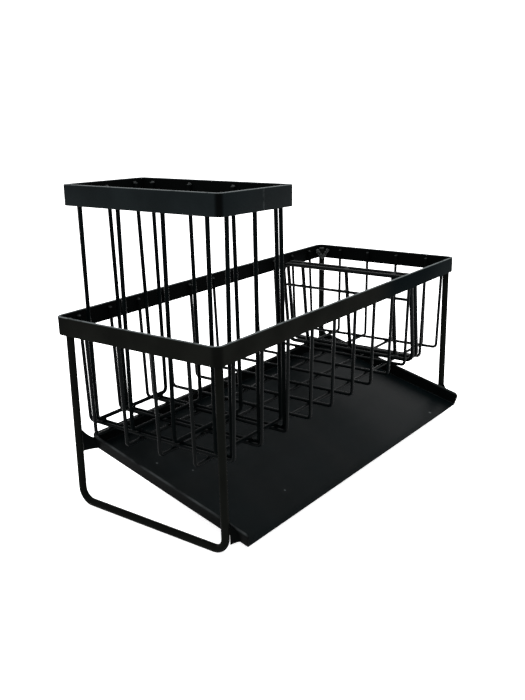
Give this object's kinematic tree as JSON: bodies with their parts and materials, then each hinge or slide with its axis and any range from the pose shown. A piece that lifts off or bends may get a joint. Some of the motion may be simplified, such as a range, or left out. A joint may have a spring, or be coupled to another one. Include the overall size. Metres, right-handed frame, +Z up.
{
  "type": "sink organizer",
  "caption": "Wire sink organizer: a long basket in a flat steel rim on wire legs over a sloped, open-fronted drip tray, with a tall lift-out basket and a loose wire divider.",
  "frame": {"origin": "on the counter, under the middle of the whole outline", "axes": "+Z up; +X along the long side, from the end with the tall basket to the end with the divider; +Y from the tray's open front to the back"},
  "size_m": [0.3, 0.1415, 0.2032],
  "materials": {
    "frame_coat": "satin black powder coat on steel strip and thick wire",
    "basket_coat": "satin black powder coat on thin steel wire",
    "tray_coat": "satin near-black powder coat on folded steel sheet",
    "tower_coat": "satin black powder coat on steel strip and thin wire",
    "divider_coat": "satin black powder coat on steel rod"
  },
  "bodies": {
    "organizer": {"rim": "frame_coat", "leg_near": "frame_coat", "leg_far": "frame_coat", "basket_wire_lengthwise_1": "basket_coat", "basket_wire_lengthwise_2": "basket_coat", "basket_wire_lengthwise_3": "basket_coat", "basket_wire_lengthwise_4": "basket_coat", "basket_wire_crosswise_01": "basket_coat", "basket_wire_crosswise_02": "basket_coat", "basket_wire_crosswise_03": "basket_coat", "basket_wire_crosswise_04": "basket_coat", "basket_wire_crosswise_05": "basket_coat", "basket_wire_crosswise_06": "basket_coat", "basket_wire_crosswise_07": "basket_coat", "basket_wire_crosswise_08": "basket_coat", "basket_wire_crosswise_09": "basket_coat", "basket_wire_crosswise_10": "basket_coat", "basket_wire_crosswise_11": "basket_coat", "drip_tray": "tray_coat"},
    "tower": {"tower_rim": "tower_coat", "tower_wire_lengthwise_1": "tower_coat", "tower_wire_lengthwise_2": "tower_coat", "tower_wire_lengthwise_3": "tower_coat", "tower_wire_lengthwise_4": "tower_coat", "tower_wire_crosswise_1": "tower_coat", "tower_wire_crosswise_2": "tower_coat", "tower_wire_crosswise_3": "tower_coat"},
    "divider": {"divider_loop_near": "divider_coat", "divider_loop_far": "divider_coat", "divider_upright_1": "divider_coat", "divider_upright_2": "divider_coat", "divider_upright_3": "divider_coat", "divider_rail": "divider_coat"}
  },
  "joints": [
    {"name": "tower_lift", "type": "slide", "parent": "organizer", "child": "tower", "axis": [0, 0, 1], "range_m": [0, 0.085]},
    {"name": "divider_lift", "type": "slide", "parent": "organizer", "child": "divider", "axis": [0, 0, 1], "range_m": [0, 0.085]}
  ]
}
